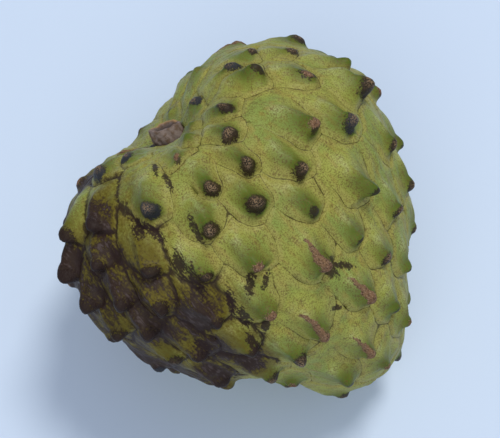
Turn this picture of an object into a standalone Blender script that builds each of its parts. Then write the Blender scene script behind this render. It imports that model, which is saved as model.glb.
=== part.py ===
"""A ripe cherimoya as picked, lying on its side with the stub of its stalk in the cleft.

The fruit is one solid. Its heart-shaped body is a polar surface: a radius from its middle for every direction, which
follows nine radii on each of four sides. Its carpels, the scales of the skin, are raised from that surface by a formula:
each rises as a ridge to a knob, drops at its rounded lower end, and meets its neighbours in a furrow. The woody stub is
the second solid, and it stands in a socket in the fruit.

The fruit's own axes, before it is laid down: X from the stalk to the tip, Y across the two lobes, Z up from the face
that it lies on. The world's origin is the middle of the small flat spot that it rests on.
"""

from math import pi, radians

import bmesh
import bpy
import numpy as np
from mathutils import Matrix, Vector

MM = 0.001

# The body, in millimetres: radii from its middle, one every 22.5 degrees from the stalk's seat round to the tip
FAR_LOBE = (38, 51, 60.7, 63.5, 60, 56.5, 55, 60, 69.5)
UPPER_FACE = (38, 42, 49.5, 49.5, 48, 47, 51.5, 60.5, 69.5)
NEAR_LOBE = (38, 50, 59.8, 60.4, 56.2, 52.6, 50.3, 57.5, 69.5)
UNDERSIDE = (38, 46.5, 53, 55, 55, 54, 54, 59.5, 69.5)
SIDES = (FAR_LOBE, UPPER_FACE, NEAR_LOBE, UNDERSIDE)

# How it lies: the tip drops by this angle, and its weight presses the lowest point flat
TILT = radians(30)
PRESSED = 0.9
PRESSED_REACH = 21

# Carpels on the side that faces up, in rows from the stalk to the tip:
# degrees from the stalk, degrees round from the far lobe, and size against the usual one
SEEN_ROWS = (
    ((41, 30, 0.6), (54, 29, 0.55), (70, 31, 1.0)),
    ((19, 41, 0.6), (35, 41, 0.8), (44, 52, 1.0), (60, 46, 0.7), (76, 39, 1.2), (97, 40, 0.8)),
    ((40, 77, 0.8), (68, 69, 1.1), (78, 57, 1.1), (116, 56, 0.8), (138, 57, 0.7), (156, 66, 0.8)),
    ((97, 69, 1.2), (126, 73, 0.7), (145, 79, 0.8), (162, 101, 0.8)),
    ((27, 88, 0.7), (49, 92, 0.8), (74, 85, 1.1), (87, 92, 0.8), (110, 82, 0.7), (131, 93, 0.9)),
    ((37, 104, 0.7), (61, 98, 1.0), (72, 106, 1.1), (105, 101, 1.0), (126, 119, 1.0), (150, 108, 1.0)),
    ((42, 116, 0.6), (59, 113, 0.8), (69, 123, 1.0), (87, 119, 1.0), (103, 128, 1.0), (129, 135, 1.0)),
    ((54, 136, 1.1), (80, 134, 0.9), (94, 142, 0.9), (112, 143, 0.9), (157, 134, 0.9)),
    ((27, 150, 0.6), (69, 147, 0.9), (80, 152, 0.9), (102, 158, 0.9), (131, 154, 0.9)),
    ((32, 166, 0.8), (50, 162, 1.0), (61, 164, 1.0), (74, 162, 1.0), (85, 162, 1.0), (118, 168, 0.9)),
    ((50, 178, 1.1), (60, 181, 1.2), (70, 176, 1.1), (81, 173, 1.0), (99, 168, 0.8)),
)

# The other carpels follow a spiral of the golden angle, spread until they are evenly apart
GOLDEN_ANGLE = radians(137.508)
SPIRAL_CARPELS = 134
SPACING = 17.5
NEAREST_TO_ROWS = 0.8
SPREADING_REACH = 1.8
SPREADING_STEPS = 120
CLEAR_OF_STALK = 12
SEED = 9

# A carpel of the usual size, in millimetres from its knob
BELOW_KNOB = 4.4
ABOVE_KNOB = 20.0
BESIDE_KNOB = 6.8
RIDGE_LENGTH = 16.0
LEVEL_RIDGE = 3.0
RIDGE_HEIGHT = 3.0
RIDGE_HALF_WIDTH = 3.4
KNOB_HEIGHT = 1.9
KNOB_RADIUS = 2.9
KNOB_LEAN = 0.45
CUSHION_HEIGHT = 0.6
CUSHION_EDGE = 4.0
BLEND = 14.0

# The mesh: squares along a cube edge, and how near a knob they are halved
CUBE_SQUARES = 24
FINER_WITHIN = 4.4

# The stub of the stalk, and the socket that it stands in
STALK_RADIUS = 4.8
STALK_HEIGHT = 6.0
STALK_ROOT = 2.5
STALK_SWELL = 0.06
STALK_BEND = 1.6
STALK_SLANT = 0.42
STALK_LEANS_TO = (0.6, 0.8)
STALK_RIM = 0.9
STALK_HOLLOW_EDGE = 1.6
STALK_HOLLOW = 0.7
STALK_SIDES = 28
STALK_RINGS = 7
STALK_OFFSET = (-1.0, 1.2)
SOCKET_GAP = 0.35
SOCKET_FLARE = 4.0

SKIN_GREEN = (0.24, 0.27, 0.06, 1)
STALK_BROWN = (0.17, 0.11, 0.08, 1)


def material(name, colour, roughness):
    made = bpy.data.materials.new(name)
    made.use_nodes = True
    skin = made.node_tree.nodes["Principled BSDF"]
    skin.inputs["Base Color"].default_value = colour
    skin.inputs["Roughness"].default_value = roughness
    skin.inputs["Metallic"].default_value = 0
    return made


def smooth_step(low, high, value):
    """0 below low and 1 above high, with no corner at either."""
    part = np.clip((value - low) / (high - low), 0, 1)
    return part * part * (3 - 2 * part)


def cosine_terms(radii):
    """The cosine series through radii that are evenly apart from one pole to the other. It is smooth at both."""
    order = np.arange(len(radii))
    places = order * pi / (len(radii) - 1)
    return np.linalg.solve(np.cos(np.outer(places, order)), np.array(radii, float))


SERIES = np.array([cosine_terms(radii) for radii in SIDES])


def body_point(polar, turn):
    """Points of the smooth body for angles from the stalk and angles round from the far lobe."""
    order = np.arange(SERIES.shape[1])
    sides = np.cos(polar[:, None] * order) @ SERIES.T
    across, up = np.cos(turn), np.sin(turn)
    shares = np.maximum(np.stack([across, up, -across, -up], axis=1), 0) ** 2
    radius = (sides * shares).sum(axis=1)
    ring = radius * np.sin(polar)
    return np.stack([-radius * np.cos(polar), ring * across, ring * up], axis=1)


def on_body(points):
    """Each point moved to the smooth body along its line from the middle."""
    ways = points / np.linalg.norm(points, axis=1)[:, None]
    return body_point(np.arccos(np.clip(-ways[:, 0], -1, 1)), np.arctan2(ways[:, 2], ways[:, 1]))


def seat():
    """The middle of the cleft's floor, where the stalk stands, in the fruit's own axes."""
    return Vector((-SIDES[0][0], STALK_OFFSET[0], STALK_OFFSET[1]))


def spread(fixed, free):
    """The free points, pushed along the body away from every point near them until they are evenly apart."""
    reach = SPREADING_REACH * SPACING
    for _ in range(SPREADING_STEPS):
        others = np.concatenate([fixed, free])
        apart = free[:, None] - others[None]
        distance = np.linalg.norm(apart, axis=2)
        push = np.clip(1 - distance / reach, 0, None) ** 2 * (distance > 0)
        ways = apart / np.maximum(distance, 1e-6)[:, :, None]
        free = on_body(free + 2.0 * (ways * push[:, :, None]).sum(axis=1))
    return free


def carpels():
    """Where every carpel's knob is on the smooth body, and how large the carpel is."""
    seen = np.array([carpel for row in SEEN_ROWS for carpel in row], float)
    seen_points = body_point(np.radians(seen[:, 0]), np.radians(seen[:, 1]))
    count = np.arange(SPIRAL_CARPELS) + 0.5
    polar = np.arccos(1 - 2 * count / SPIRAL_CARPELS)
    turn = (count * GOLDEN_ANGLE) % (2 * pi)
    spiral = body_point(polar, turn)
    to_rows = np.linalg.norm(spiral[:, None] - seen_points[None], axis=2).min(axis=1)
    clear_of_stalk = np.linalg.norm(spiral - np.array(seat()), axis=1) > CLEAR_OF_STALK
    spiral = spread(seen_points, spiral[(to_rows > NEAREST_TO_ROWS * SPACING) & clear_of_stalk])
    sizes = np.random.default_rng(SEED).uniform(0.62, 0.86, len(spiral))
    sizes *= 0.6 + 0.4 * smooth_step(20, 50, np.linalg.norm(spiral - np.array(seat()), axis=1))
    return np.concatenate([seen_points, spiral]), np.concatenate([seen[:, 2], sizes])


def downhill(points):
    """Unit directions along the body towards the tip."""
    polar = np.arccos(np.clip(-points[:, 0] / np.linalg.norm(points, axis=1), -1, 1))
    turn = np.arctan2(points[:, 2], points[:, 1])
    step = 0.01
    ahead = body_point(polar + step, turn) - body_point(polar - step, turn)
    return ahead / np.linalg.norm(ahead, axis=1)[:, None]


def sideways(points, ways):
    """Unit directions along the body, square to the ways towards the tip."""
    across = np.cross(points, ways)
    return across / np.linalg.norm(across, axis=1)[:, None]


def relief(points):
    """How far the skin rises from the smooth body at each point, and how much of that is knob.

    A carpel's reach is short below its knob and long above it, so that its border is round below, like a scale's.
    The nearest carpel by that measure owns the point, and the next nearest gives the distance to the furrow.
    """
    knobs, sizes = carpels()
    ways = downhill(knobs)
    apart = points[:, None] - knobs[None]
    down = (apart * ways).sum(axis=2)
    beside = (apart * sideways(knobs, ways)).sum(axis=2)
    through = np.sqrt(np.maximum((apart**2).sum(axis=2) - down**2 - beside**2, 0))
    girth = np.sqrt(sizes)
    reach = np.where(down > 0, BELOW_KNOB, ABOVE_KNOB) * girth
    measure = np.sqrt((down / reach) ** 2 + (beside / (BESIDE_KNOB * girth)) ** 2 + (through / BESIDE_KNOB) ** 2)
    nearest = np.sort(measure, axis=1)
    owned = np.exp(-BLEND * (measure - nearest[:, :1]))
    owned /= owned.sum(axis=1)[:, None]
    to_furrow = (nearest[:, 1] - nearest[:, 0]) * BESIDE_KNOB / 2
    cushion = CUSHION_HEIGHT * smooth_step(0, CUSHION_EDGE, to_furrow)
    uphill = smooth_step(-RIDGE_LENGTH, -LEVEL_RIDGE, down) * (down < 0)
    above = uphill + np.exp(-((down / KNOB_RADIUS) ** 4)) * (down >= 0)
    ridge = RIDGE_HEIGHT * sizes**2 * above * np.exp(-((beside / (RIDGE_HALF_WIDTH * girth)) ** 2))
    from_knob = np.sqrt(down**2 + beside**2 + through**2) / (KNOB_RADIUS * girth)
    knob = KNOB_HEIGHT * sizes**2 * np.clip(1 - from_knob**2, 0, None) ** 0.7
    lean = (owned * knob) @ ways * KNOB_LEAN
    return cushion + (owned * (ridge + knob)).sum(axis=1), lean


def resting_point():
    """The lowest point of the smooth body as it lies, in the fruit's own axes."""
    polar, turn = np.meshgrid(np.linspace(0.02, pi - 0.02, 180), np.linspace(pi, 2 * pi, 181))
    points = body_point(polar.ravel(), turn.ravel())
    height = points @ np.array([-np.sin(TILT), 0, np.cos(TILT)])
    return points[height.argmin()]


def cube_sphere():
    """A cube's faces cut into even squares and blown up to a ball."""
    ball = bmesh.new()
    bmesh.ops.create_cube(ball, size=2)
    bmesh.ops.subdivide_edges(ball, edges=ball.edges, cuts=CUBE_SQUARES - 1, use_grid_fill=True)
    for vertex in ball.verts:
        vertex.co = Vector([np.tan(coordinate * pi / 4) for coordinate in vertex.co])
    return ball


def place(shape, points):
    for vertex, point in zip(shape.verts, points):
        vertex.co = point


def points_of(shape):
    return np.array([vertex.co for vertex in shape.verts])


def finer_near_knobs(shape):
    knobs, _ = carpels()
    middles = np.array([(edge.verts[0].co + edge.verts[1].co) / 2 for edge in shape.edges])
    near = np.linalg.norm(middles[:, None] - knobs[None], axis=2).min(axis=1) < FINER_WITHIN
    edges = [edge for edge, is_near in zip(shape.edges, near) if is_near]
    bmesh.ops.subdivide_edges(shape, edges=edges, cuts=1, use_grid_fill=True)
    place(shape, on_body(points_of(shape)))


def raise_carpels(shape):
    """The relief lifts each point along the body's normal, and fades where the fruit is pressed flat."""
    shape.normal_update()
    points = points_of(shape)
    normals = np.array([vertex.normal for vertex in shape.verts])
    height, lean = relief(points)
    free = 1 - np.exp(-((np.linalg.norm(points - resting_point(), axis=1) / PRESSED_REACH) ** 4))
    place(shape, points + free[:, None] * (normals * height[:, None] + lean))


def press_flat(shape):
    """The lowest part is cut off level, which leaves the flat spot."""
    down = Vector((np.sin(TILT), 0, -np.cos(TILT)))
    spot = Vector(resting_point()) - down * PRESSED
    everything = [*shape.verts, *shape.edges, *shape.faces]
    cut = bmesh.ops.bisect_plane(shape, geom=everything, plane_co=spot, plane_no=down, clear_outer=True)
    rim = [part for part in cut["geom_cut"] if isinstance(part, bmesh.types.BMEdge)]
    bmesh.ops.edgeloop_fill(shape, edges=rim)


def new_object(name, shape, skin, collection):
    bmesh.ops.recalc_face_normals(shape, faces=shape.faces)
    mesh = bpy.data.meshes.new(name)
    shape.to_mesh(mesh)
    shape.free()
    mesh.transform(Matrix.Scale(MM, 4))
    mesh.shade_smooth()
    mesh.materials.append(skin)
    made = bpy.data.objects.new(name, mesh)
    collection.objects.link(made)
    return made


def make_fruit(collection):
    shape = cube_sphere()
    place(shape, on_body(points_of(shape)))
    finer_near_knobs(shape)
    raise_carpels(shape)
    bmesh.ops.triangulate(shape, faces=shape.faces, quad_method="SHORT_EDGE")
    press_flat(shape)
    fruit = new_object("fruit", shape, material("green skin", SKIN_GREEN, 0.5), collection)
    fruit.rotation_euler = (0, TILT, 0)
    spot = Matrix.Rotation(TILT, 3, "Y") @ Vector(resting_point())
    fruit.location = (-spot.x * MM, -spot.y * MM, -(spot.z + PRESSED) * MM)
    return fruit


def along_axis(shape, middle):
    """A shape made round Z is turned to lie along X, its low end towards the tip, and moved to its middle."""
    turn = Matrix.Rotation(-pi / 2, 4, "Y")
    bmesh.ops.transform(shape, matrix=Matrix.Translation(middle) @ turn, verts=shape.verts)


def make_stalk(fruit, collection):
    """A stub that swells a little and bends to one side, with a rough bark and a slanting, sunken end."""
    shape = bmesh.new()
    height = STALK_HEIGHT + STALK_ROOT
    bmesh.ops.create_cone(
        shape, cap_ends=True, segments=STALK_SIDES, radius1=STALK_RADIUS, radius2=STALK_RADIUS, depth=height
    )
    upright = [edge for edge in shape.edges if abs(edge.verts[0].co.z - edge.verts[1].co.z) > 1]
    bmesh.ops.subdivide_edges(shape, edges=upright, cuts=STALK_RINGS - 1)
    top = [face for face in shape.faces if face.normal.z > 0.9]
    rim = bmesh.ops.inset_region(shape, faces=top, thickness=STALK_RIM)
    hollow = [face for face in shape.faces if face.normal.z > 0.9 and face not in rim["faces"]]
    bmesh.ops.inset_region(shape, faces=hollow, thickness=STALK_HOLLOW_EDGE, depth=-STALK_HOLLOW)
    leans_to = Vector(STALK_LEANS_TO)
    for vertex in shape.verts:
        above_fruit = vertex.co.z + height / 2 - STALK_ROOT
        free = min(max(above_fruit / 1.5, 0), 1)
        angle = np.arctan2(vertex.co.y, vertex.co.x)
        bark = 1 + 0.05 * np.sin(3 * angle + 0.6) + 0.03 * np.sin(7 * angle + 0.5 * vertex.co.z)
        swell = 1 + STALK_SWELL * np.sin(pi * min(max(above_fruit / STALK_HEIGHT, 0), 1))
        scale = 1 + free * (bark * swell - 1)
        vertex.co.x *= scale
        vertex.co.y *= scale
        vertex.co.z -= STALK_SLANT * free * vertex.co.xy.dot(leans_to)
        vertex.co.xy += leans_to * STALK_BEND * (max(above_fruit, 0) / STALK_HEIGHT) ** 1.5
    along_axis(shape, seat() + Vector((-(STALK_HEIGHT - STALK_ROOT) / 2, 0, 0)))
    stalk = new_object("stalk", shape, material("brown bark", STALK_BROWN, 0.85), collection)
    stalk.parent = fruit
    return stalk


def cut_socket(fruit, cutters):
    """The hole that the stub's foot stands in. It is a little wider than the foot, and it widens outwards."""
    shape = bmesh.new()
    above = 14
    below = STALK_ROOT + SOCKET_GAP
    radius = STALK_RADIUS + SOCKET_GAP
    flared = radius + SOCKET_FLARE
    bmesh.ops.create_cone(
        shape, cap_ends=True, segments=STALK_SIDES, radius1=radius, radius2=flared, depth=above + below
    )
    along_axis(shape, seat() + Vector((-(above - below) / 2, 0, 0)))
    cutter = new_object("socket_cutter", shape, material("cutter", (1, 0, 0, 1), 1), cutters)
    cutter.parent = fruit
    cutter.hide_render = True
    cutter.display_type = "WIRE"
    cut = fruit.modifiers.new("socket", "BOOLEAN")
    cut.operation = "DIFFERENCE"
    cut.object = cutter


def main():
    for old in list(bpy.data.objects):
        bpy.data.objects.remove(old)
    collection = bpy.data.collections.new("cherimoya")
    cutters = bpy.data.collections.new("cutters")
    bpy.context.scene.collection.children.link(collection)
    bpy.context.scene.collection.children.link(cutters)
    fruit = make_fruit(collection)
    make_stalk(fruit, collection)
    cut_socket(fruit, cutters)


if __name__ == "__main__":
    main()
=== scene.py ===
"""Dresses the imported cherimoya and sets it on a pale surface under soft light.

The fruit's skin is built again from the part's own named sizes on a finer mesh, so that it keeps the
solid's form. It adds what the solids are too coarse for: the line in each furrow, the lip beside it, the
caps of the knobs and the bruised side. The stub of the stalk gets its bark and its sunken, broken end.

Sizes are in millimetres in the fruit's own axes, as in the part's source: X from the stalk to the tip, Y
across the two lobes, Z up. Each mesh is laid down and made metres once it is finished.
"""

import logging
from dataclasses import dataclass, field
from enum import Enum
from math import pi, radians
from typing import Any

import bmesh
import bpy
import numpy as np
from mathutils import Matrix, Quaternion, Vector


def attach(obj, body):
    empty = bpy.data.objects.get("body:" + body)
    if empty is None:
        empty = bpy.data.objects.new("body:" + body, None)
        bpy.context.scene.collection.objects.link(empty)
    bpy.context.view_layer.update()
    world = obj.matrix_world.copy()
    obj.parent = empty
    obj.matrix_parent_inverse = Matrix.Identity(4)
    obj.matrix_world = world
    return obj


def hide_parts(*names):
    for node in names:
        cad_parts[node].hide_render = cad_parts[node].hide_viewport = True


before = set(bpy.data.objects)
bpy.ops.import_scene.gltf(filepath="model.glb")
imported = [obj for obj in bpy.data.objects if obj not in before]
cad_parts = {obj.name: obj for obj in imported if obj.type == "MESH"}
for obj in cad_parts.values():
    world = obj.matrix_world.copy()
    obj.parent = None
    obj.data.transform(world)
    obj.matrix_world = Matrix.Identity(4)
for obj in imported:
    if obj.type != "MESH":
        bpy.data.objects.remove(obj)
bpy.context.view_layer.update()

MM = 0.001
TINY = 1e-6
Array = np.ndarray
Numbers = Array | float
LOG = logging.getLogger("cherimoya")


def linear(hex_colour: str) -> tuple[float, float, float, float]:
    """The linear colour of an sRGB hex value.

    Args:
        hex_colour: Six hex digits, with or without a leading mark.

    Returns:
        Red, green, blue and an alpha of 1.
    """
    digits = hex_colour.lstrip("#")
    parts = [int(digits[i : i + 2], 16) / 255 for i in (0, 2, 4)]
    red, green, blue = (
        part / 12.92 if part <= 0.04045 else ((part + 0.055) / 1.055) ** 2.4 for part in parts
    )
    return red, green, blue, 1.0


def smooth_step(low: float, high: float, value: Numbers) -> Numbers:
    """0 below low and 1 above high, with no corner at either.

    Args:
        low: Where it starts to rise.
        high: Where it has reached 1. It may be less than low, and then it falls.
        value: The numbers to judge.

    Returns:
        A number from 0 to 1 for each value.
    """
    part = np.clip((value - low) / (high - low), 0, 1)
    return part * part * (3 - 2 * part)


def unit(vectors: Array) -> Array:
    """Each row's direction, with a length of 1."""
    return vectors / np.linalg.norm(vectors, axis=1)[:, None]


def ripple(points: Array, wavelength: float, seed: int) -> Array:
    """A smooth, uneven swell, made of waves that run in seeded directions.

    Args:
        points: Places in millimetres.
        wavelength: The usual length of a wave in millimetres.
        seed: Which swell it is.

    Returns:
        A height of about -1 to 1 for each point.
    """
    waves = 14
    shortest, longest = 0.7, 1.5
    draw = np.random.default_rng(seed)
    ways = unit(draw.normal(size=(waves, 3)))
    lengths = wavelength * draw.uniform(shortest, longest, waves)
    phases = draw.uniform(0, 2 * pi, waves)
    return np.sin(points @ (ways / lengths[:, None]).T * 2 * pi + phases).sum(axis=1) / np.sqrt(waves)


def add(
    tree: Any, kind: str, settings: dict[Any, Any] | None = None, links: dict[Any, Any] | None = None
) -> Any:
    """Adds a node with its settings and its links.

    Args:
        tree: The node tree.
        kind: The node's Blender type name.
        settings: The node's properties by name, and its sockets' values by name or number.
        links: The output that each input socket, by name or number, takes its value from.

    Returns:
        The new node.
    """
    node = tree.nodes.new(kind)
    for name, value in (settings or {}).items():
        if isinstance(name, str) and hasattr(node, name):
            setattr(node, name, value)
        else:
            node.inputs[name].default_value = value
    for name, output in (links or {}).items():
        tree.links.new(output, node.inputs[name])
    return node


def mesh_of(shape: Any, name: str) -> Any:
    """Turns a finished bmesh into a mesh.

    Args:
        shape: The bmesh, which is freed.
        name: The mesh's name.

    Returns:
        The mesh.
    """
    mesh = bpy.data.meshes.new(name)
    shape.to_mesh(mesh)
    shape.free()
    return mesh


def put_in_scene(name: str, data: Any) -> Any:
    """Makes an object of a mesh, a light or a camera.

    Args:
        name: The object's name.
        data: What it shows.

    Returns:
        The object, in the scene.
    """
    made = bpy.data.objects.new(name, data)
    bpy.context.scene.collection.objects.link(made)
    return made


class Tip(Enum):
    """What the end of a carpel's knob looks like."""

    DARK = "dried purple-brown cap"
    BLUE = "blue-grey cap"
    GREEN = "green, crusted at the very end"
    CORKY = "pinkish corky strip up the ridge"
    CAPPED = "pinkish corky cap"
    FLAT = "flat star-shaped scar"
    SMOOTH = "smooth and green"


@dataclass(frozen=True)
class Carpel:
    """A carpel that the photograph shows: its knob's place in degrees, its size, and how its tip looks."""

    polar: float
    turn: float
    size: float
    tip: Tip = Tip.DARK


@dataclass(frozen=True)
class Spot:
    """A patch on the skin: its middle and heading in degrees, its reach in millimetres, and its depth."""

    polar: float
    turn: float
    along: float
    across: float
    heading: float = 0.0
    depth: float = 1.0


@dataclass
class Body:
    """The smooth heart-shaped body: a radius from its middle for every direction."""

    far_lobe: tuple[float, ...] = (38, 51, 60.7, 63.5, 60, 56.5, 55, 60, 69.5)
    upper_face: tuple[float, ...] = (38, 42, 49.5, 49.5, 48, 47, 51.5, 60.5, 69.5)
    near_lobe: tuple[float, ...] = (38, 50, 59.8, 60.4, 56.2, 52.6, 50.3, 57.5, 69.5)
    underside: tuple[float, ...] = (38, 46.5, 53, 55, 55, 54, 54, 59.5, 69.5)
    tilt: float = radians(30)
    pressed: float = 0.9
    seat_offset: tuple[float, float] = (-1.0, 1.2)
    series: Array = field(init=False)

    def __post_init__(self) -> None:
        """Works out each side's cosine series."""
        sides = (self.far_lobe, self.upper_face, self.near_lobe, self.underside)
        order = np.arange(len(self.far_lobe))
        places = order * pi / (len(order) - 1)
        self.series = np.linalg.solve(np.cos(np.outer(places, order)), np.array(sides, float).T).T

    def point(self, polar: Array, turn: Array) -> Array:
        """Points of the body.

        Args:
            polar: Angles from the stalk, in radians.
            turn: Angles round from the far lobe, in radians.

        Returns:
            One point for each pair.
        """
        sides = np.cos(polar[:, None] * np.arange(self.series.shape[1])) @ self.series.T
        across, up = np.cos(turn), np.sin(turn)
        shares = np.maximum(np.stack([across, up, -across, -up], axis=1), 0) ** 2
        radius = (sides * shares).sum(axis=1)
        ring = radius * np.sin(polar)
        return np.stack([-radius * np.cos(polar), ring * across, ring * up], axis=1)

    def on_body(self, points: Array) -> Array:
        """Moves points to the body.

        Args:
            points: Places anywhere but the middle.

        Returns:
            Where each point's line from the middle meets the body.
        """
        ways = unit(points)
        return self.point(np.arccos(np.clip(-ways[:, 0], -1, 1)), np.arctan2(ways[:, 2], ways[:, 1]))

    def ways(self, points: Array) -> tuple[Array, Array]:
        """Directions along the body, towards the tip and across.

        Args:
            points: Places on the body.

        Returns:
            The two unit directions for each.
        """
        polar = np.arccos(np.clip(-points[:, 0] / np.linalg.norm(points, axis=1), -1, 1))
        turn = np.arctan2(points[:, 2], points[:, 1])
        step = 0.01
        ahead = self.point(polar + step, turn) - self.point(polar - step, turn)
        down = unit(ahead)
        return down, unit(np.cross(points, down))

    def seat(self) -> Array:
        """The middle of the cleft's floor, where the stalk stands."""
        return np.array([-self.far_lobe[0], *self.seat_offset])

    def resting_point(self) -> Array:
        """The lowest point of the body as it lies.

        Returns:
            The point, in the fruit's own axes.
        """
        off_pole = 0.02
        polar, turn = np.meshgrid(np.linspace(off_pole, pi - off_pole, 180), np.linspace(pi, 2 * pi, 181))
        points = self.point(polar.ravel(), turn.ravel())
        height = points @ np.array([-np.sin(self.tilt), 0, np.cos(self.tilt)])
        return points[height.argmin()]

    def laid_down(self) -> Matrix:
        """The move from the fruit's own axes to its place in the frame.

        Returns:
            A matrix that takes millimetres and gives metres.
        """
        turn = Matrix.Rotation(self.tilt, 4, "Y")
        spot = turn @ Vector(self.resting_point())
        lift = Matrix.Translation((-spot.x, -spot.y, -(spot.z + self.pressed)))
        return Matrix.Scale(MM, 4) @ lift @ turn


@dataclass
class Carpels:
    """The skin's scales: those that the photograph shows, and the rest on a spiral of the golden angle."""

    seen: tuple[Carpel, ...] = (
        Carpel(41, 30, 0.6), Carpel(54, 29, 0.55), Carpel(70, 31, 1.0, Tip.SMOOTH),
        Carpel(19, 41, 0.6, Tip.BLUE), Carpel(35, 41, 0.8, Tip.BLUE), Carpel(44, 52, 1.0, Tip.GREEN),
        Carpel(60, 46, 0.7, Tip.FLAT), Carpel(76, 39, 1.2), Carpel(97, 40, 0.8),
        Carpel(40, 77, 0.8), Carpel(68, 69, 1.1, Tip.CAPPED), Carpel(78, 57, 1.1, Tip.BLUE),
        Carpel(116, 56, 0.8), Carpel(138, 57, 0.7, Tip.GREEN), Carpel(156, 66, 0.8, Tip.CAPPED),
        Carpel(97, 69, 1.2, Tip.GREEN), Carpel(126, 73, 0.7), Carpel(145, 79, 0.8, Tip.GREEN),
        Carpel(162, 101, 0.8, Tip.CAPPED),
        Carpel(27, 88, 0.7, Tip.SMOOTH), Carpel(49, 92, 0.8), Carpel(74, 85, 1.1),
        Carpel(87, 92, 0.8, Tip.GREEN), Carpel(110, 82, 0.7, Tip.GREEN), Carpel(131, 93, 0.9, Tip.CORKY),
        Carpel(37, 104, 0.7, Tip.SMOOTH), Carpel(61, 98, 1.0), Carpel(72, 106, 1.1),
        Carpel(105, 101, 1.0, Tip.CORKY), Carpel(126, 119, 1.0, Tip.CORKY), Carpel(150, 108, 1.0, Tip.CORKY),
        Carpel(42, 116, 0.6, Tip.CAPPED), Carpel(59, 113, 0.8), Carpel(69, 123, 1.0),
        Carpel(87, 119, 1.0, Tip.CAPPED), Carpel(103, 128, 1.0, Tip.CAPPED), Carpel(129, 135, 1.0),
        Carpel(54, 136, 1.1, Tip.BLUE), Carpel(80, 134, 0.9), Carpel(94, 142, 0.9), Carpel(112, 143, 0.9),
        Carpel(157, 134, 0.9, Tip.GREEN),
        Carpel(27, 150, 0.6, Tip.BLUE), Carpel(69, 147, 0.9), Carpel(80, 152, 0.9), Carpel(102, 158, 0.9),
        Carpel(131, 154, 0.9),
        Carpel(32, 166, 0.8, Tip.BLUE), Carpel(50, 162, 1.0), Carpel(61, 164, 1.0), Carpel(74, 162, 1.0),
        Carpel(85, 162, 1.0), Carpel(118, 168, 0.9),
        Carpel(50, 178, 1.1), Carpel(60, 181, 1.2), Carpel(70, 176, 1.1), Carpel(81, 173, 1.0),
        Carpel(99, 168, 0.8),
    )
    golden_angle: float = radians(137.508)
    spiral_carpels: int = 134
    spacing: float = 17.5
    nearest_to_rows: float = 0.8
    spreading_reach: float = 1.8
    spreading_steps: int = 120
    spreading_push: float = 2.0
    clear_of_stalk: float = 12
    spiral_sizes: tuple[float, float] = (0.62, 0.86)
    least_by_stalk: float = 0.6
    grows_from_stalk: tuple[float, float] = (20, 50)
    spiral_tips: tuple[Tip, ...] = (
        Tip.DARK, Tip.DARK, Tip.DARK, Tip.BLUE, Tip.GREEN, Tip.CAPPED, Tip.CORKY,
    )
    seed: int = 9
    knobs: Array = field(init=False)
    sizes: Array = field(init=False)
    tips: list[Tip] = field(init=False)

    def grow(self, body: Body) -> None:
        """Places every carpel, as the part's source does, and picks the tips of those on the spiral.

        Args:
            body: The body that they grow on.
        """
        seen = np.array([(carpel.polar, carpel.turn, carpel.size) for carpel in self.seen], float)
        seen_points = body.point(np.radians(seen[:, 0]), np.radians(seen[:, 1]))
        count = np.arange(self.spiral_carpels) + 0.5
        polar = np.arccos(1 - 2 * count / self.spiral_carpels)
        spiral = body.point(polar, (count * self.golden_angle) % (2 * pi))
        to_rows = np.linalg.norm(spiral[:, None] - seen_points[None], axis=2).min(axis=1)
        clear = np.linalg.norm(spiral - body.seat(), axis=1) > self.clear_of_stalk
        free = spiral[(to_rows > self.nearest_to_rows * self.spacing) & clear]
        spiral = self.spread(body, seen_points, free)
        draw = np.random.default_rng(self.seed)
        sizes = draw.uniform(*self.spiral_sizes, len(spiral))
        from_stalk = np.linalg.norm(spiral - body.seat(), axis=1)
        least = self.least_by_stalk
        sizes *= least + (1 - least) * smooth_step(*self.grows_from_stalk, from_stalk)
        picks = draw.integers(0, len(self.spiral_tips), len(spiral))
        self.knobs = np.concatenate([seen_points, spiral])
        self.sizes = np.concatenate([seen[:, 2], sizes])
        self.tips = [carpel.tip for carpel in self.seen] + [self.spiral_tips[pick] for pick in picks]

    def spread(self, body: Body, fixed: Array, free: Array) -> Array:
        """Pushes points apart until they are even.

        Args:
            body: The body that they stay on.
            fixed: Points that stay where they are.
            free: Points that may move.

        Returns:
            The free points' new places.
        """
        reach = self.spreading_reach * self.spacing
        for _ in range(self.spreading_steps):
            others = np.concatenate([fixed, free])
            apart = free[:, None] - others[None]
            distance = np.linalg.norm(apart, axis=2)
            push = np.clip(1 - distance / reach, 0, None) ** 2 * (distance > 0)
            ways = apart / np.maximum(distance, TINY)[:, :, None]
            free = body.on_body(free + self.spreading_push * (ways * push[:, :, None]).sum(axis=1))
        return free

    def share_of(self, *wanted: Tip) -> Array:
        """1 for each carpel whose tip is one of those wanted, and 0 for the others."""
        return np.array([float(tip in wanted) for tip in self.tips])


@dataclass
class Near:
    """How each point of the skin lies to the carpels nearest to it. Rows are points and columns carpels."""

    which: Array
    down: Array
    beside: Array
    through: Array
    owned: Array
    to_furrow: Array
    line: Array


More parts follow.
